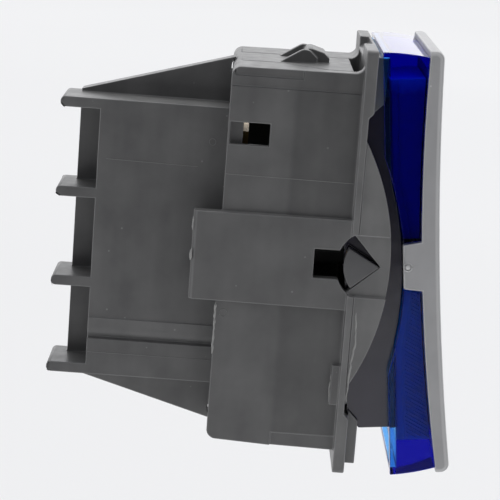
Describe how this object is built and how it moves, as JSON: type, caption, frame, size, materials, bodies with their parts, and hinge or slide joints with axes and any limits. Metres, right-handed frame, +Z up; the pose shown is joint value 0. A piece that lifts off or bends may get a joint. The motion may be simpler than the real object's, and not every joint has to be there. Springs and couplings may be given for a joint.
{
  "type": "wall light switch",
  "caption": "Rocker light switch module with a lit key, snap-in housing, see-saw contact and screw terminals, without plate or frame.",
  "frame": {"origin": "centre of the flange's rear plane, which seats on the support frame", "axes": "+Z up in the wall, -Y out of the wall towards the user, +Y into the box towards the wires, X along the pivot axis"},
  "size_m": [0.0224, 0.0436, 0.0454],
  "materials": {
    "housing_grey": "satin moulded plastic",
    "carrier_dark": "satin moulded plastic",
    "lens_blue": "clear, tinted",
    "key_silver": "silver-grey, fine satin",
    "plunger_white": "natural, smooth",
    "contact_brass": "stamped",
    "contact_silver": "silver alloy, domed",
    "screw_steel": "zinc plated",
    "spring_steel": "drawn wire"
  },
  "bodies": {
    "housing": {"front_housing": "housing_grey", "terminal_block": "housing_grey", "common_strip": "contact_brass", "traveller_strip_upper": "contact_brass", "traveller_strip_lower": "contact_brass", "fixed_contact_upper": "contact_silver", "fixed_contact_lower": "contact_silver", "terminal_cage_upper": "contact_brass", "terminal_cage_middle": "contact_brass", "terminal_cage_lower": "contact_brass"},
    "rocker": {"rocker_carrier": "carrier_dark", "light_lens": "lens_blue", "key_cover": "key_silver", "plunger_spring": "spring_steel"},
    "plunger": {"plunger": "plunger_white"},
    "blade": {"contact_blade": "contact_brass", "moving_contact_upper": "contact_silver", "moving_contact_lower": "contact_silver"},
    "clamp_upper": {"clamp_plate_upper": "screw_steel"},
    "clamp_middle": {"clamp_plate_middle": "screw_steel"},
    "clamp_lower": {"clamp_plate_lower": "screw_steel"},
    "screw_upper": {"terminal_screw_upper": "screw_steel"},
    "screw_middle": {"terminal_screw_middle": "screw_steel"},
    "screw_lower": {"terminal_screw_lower": "screw_steel"}
  },
  "joints": [
    {"name": "rocker_pivot", "type": "hinge", "parent": "housing", "child": "rocker", "pos_m": [0, -0.00315, 0], "axis": [1, 0, 0], "range_deg": [0, 11.6]},
    {"name": "plunger_slide", "type": "slide", "parent": "rocker", "child": "plunger", "axis": [0, -0.9949, 0.1011], "range_m": [0, 0.0008], "stiffness_N_per_m": 400, "springref_m": -0.002, "deforming": ["plunger_spring"]},
    {"name": "blade_pivot", "type": "hinge", "parent": "housing", "child": "blade", "pos_m": [0, 0.00861, 0], "axis": [1, 0, 0], "range_deg": [-18.56, 0]},
    {"name": "clamp_slide_upper", "type": "slide", "parent": "housing", "child": "clamp_upper", "axis": [-1, 0, 0], "range_m": [0, 0.0019]},
    {"name": "clamp_slide_middle", "type": "slide", "parent": "housing", "child": "clamp_middle", "axis": [-1, 0, 0], "range_m": [0, 0.0019]},
    {"name": "clamp_slide_lower", "type": "slide", "parent": "housing", "child": "clamp_lower", "axis": [-1, 0, 0], "range_m": [0, 0.0019]},
    {"name": "screw_turn_upper", "type": "hinge", "parent": "clamp_upper", "child": "screw_upper", "pos_m": [0.0041, 0.0202, 0.00965], "axis": [-1, 0, 0], "range_deg": [0, 1368.01]},
    {"name": "screw_turn_middle", "type": "hinge", "parent": "clamp_middle", "child": "screw_middle", "pos_m": [0.0041, 0.0202, 0], "axis": [-1, 0, 0], "range_deg": [0, 1368.01]},
    {"name": "screw_turn_lower", "type": "hinge", "parent": "clamp_lower", "child": "screw_lower", "pos_m": [0.0041, 0.0202, -0.00965], "axis": [-1, 0, 0], "range_deg": [0, 1368.01]}
  ],
  "couplings": [
    {"joint": "blade_pivot", "follows": "rocker_pivot", "ratio": -1.6},
    {"joint": "screw_turn_upper", "follows": "clamp_slide_upper", "rad_per_m": 12566},
    {"joint": "screw_turn_middle", "follows": "clamp_slide_middle", "rad_per_m": 12566},
    {"joint": "screw_turn_lower", "follows": "clamp_slide_lower", "rad_per_m": 12566}
  ]
}
